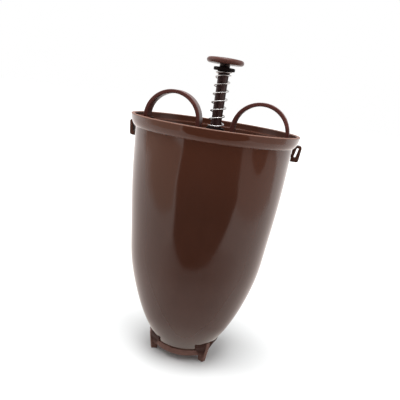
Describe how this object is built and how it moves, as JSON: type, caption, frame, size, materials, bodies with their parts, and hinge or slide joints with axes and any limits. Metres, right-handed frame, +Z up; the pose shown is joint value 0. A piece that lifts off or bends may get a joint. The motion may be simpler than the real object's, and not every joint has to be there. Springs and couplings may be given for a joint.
{
  "type": "batter dispenser",
  "caption": "Hand-held batter dispenser: tapering cup on three winged feet, bridge with finger loops, and a sprung plunger whose piston shuts the outlet.",
  "frame": {"origin": "on the table, under the cup's axis", "axes": "+Z up along the cup's axis, X along the handle bridge, +Y towards the back foot"},
  "size_m": [0.1314, 0.1268, 0.2338],
  "materials": {
    "cup_plastic": "glossy moulded",
    "base_plastic": "satin moulded",
    "bridge_plastic": "glossy moulded",
    "loop_plastic": "glossy moulded",
    "clip_plastic": "glossy moulded",
    "bush_plastic": "smooth moulded",
    "rod_plastic": "glossy moulded",
    "knob_plastic": "glossy moulded",
    "spring_steel": "drawn wire",
    "steel": "plated",
    "seal_rubber": "soft silicone"
  },
  "bodies": {
    "cup": {"hopper_cup": "cup_plastic", "outlet_base": "base_plastic", "base_seal": "seal_rubber", "handle_bridge": "bridge_plastic", "guide_bush": "bush_plastic", "spring_seat": "steel", "finger_loop_right": "loop_plastic", "finger_loop_left": "loop_plastic", "return_spring": "spring_steel"},
    "plunger": {"plunger_rod": "rod_plastic", "spring_cap": "rod_plastic", "push_knob": "knob_plastic", "knob_screw": "steel", "knob_cover": "knob_plastic", "closing_piston": "base_plastic", "piston_seal": "seal_rubber", "piston_washer": "steel", "piston_screw": "steel"},
    "clip_right": {"lock_clip_right": "clip_plastic"},
    "clip_left": {"lock_clip_left": "clip_plastic"}
  },
  "joints": [
    {"name": "plunger_press", "type": "slide", "parent": "cup", "child": "plunger", "axis": [0, 0, -1], "range_m": [0, 0.023], "stiffness_N_per_m": 250, "springref_m": -0.012, "deforming": ["return_spring"]},
    {"name": "clip_right_pull", "type": "slide", "parent": "cup", "child": "clip_right", "axis": [1, 0, 0], "range_m": [0, 0.008]},
    {"name": "clip_left_pull", "type": "slide", "parent": "cup", "child": "clip_left", "axis": [-1, 0, 0], "range_m": [0, 0.008]}
  ]
}
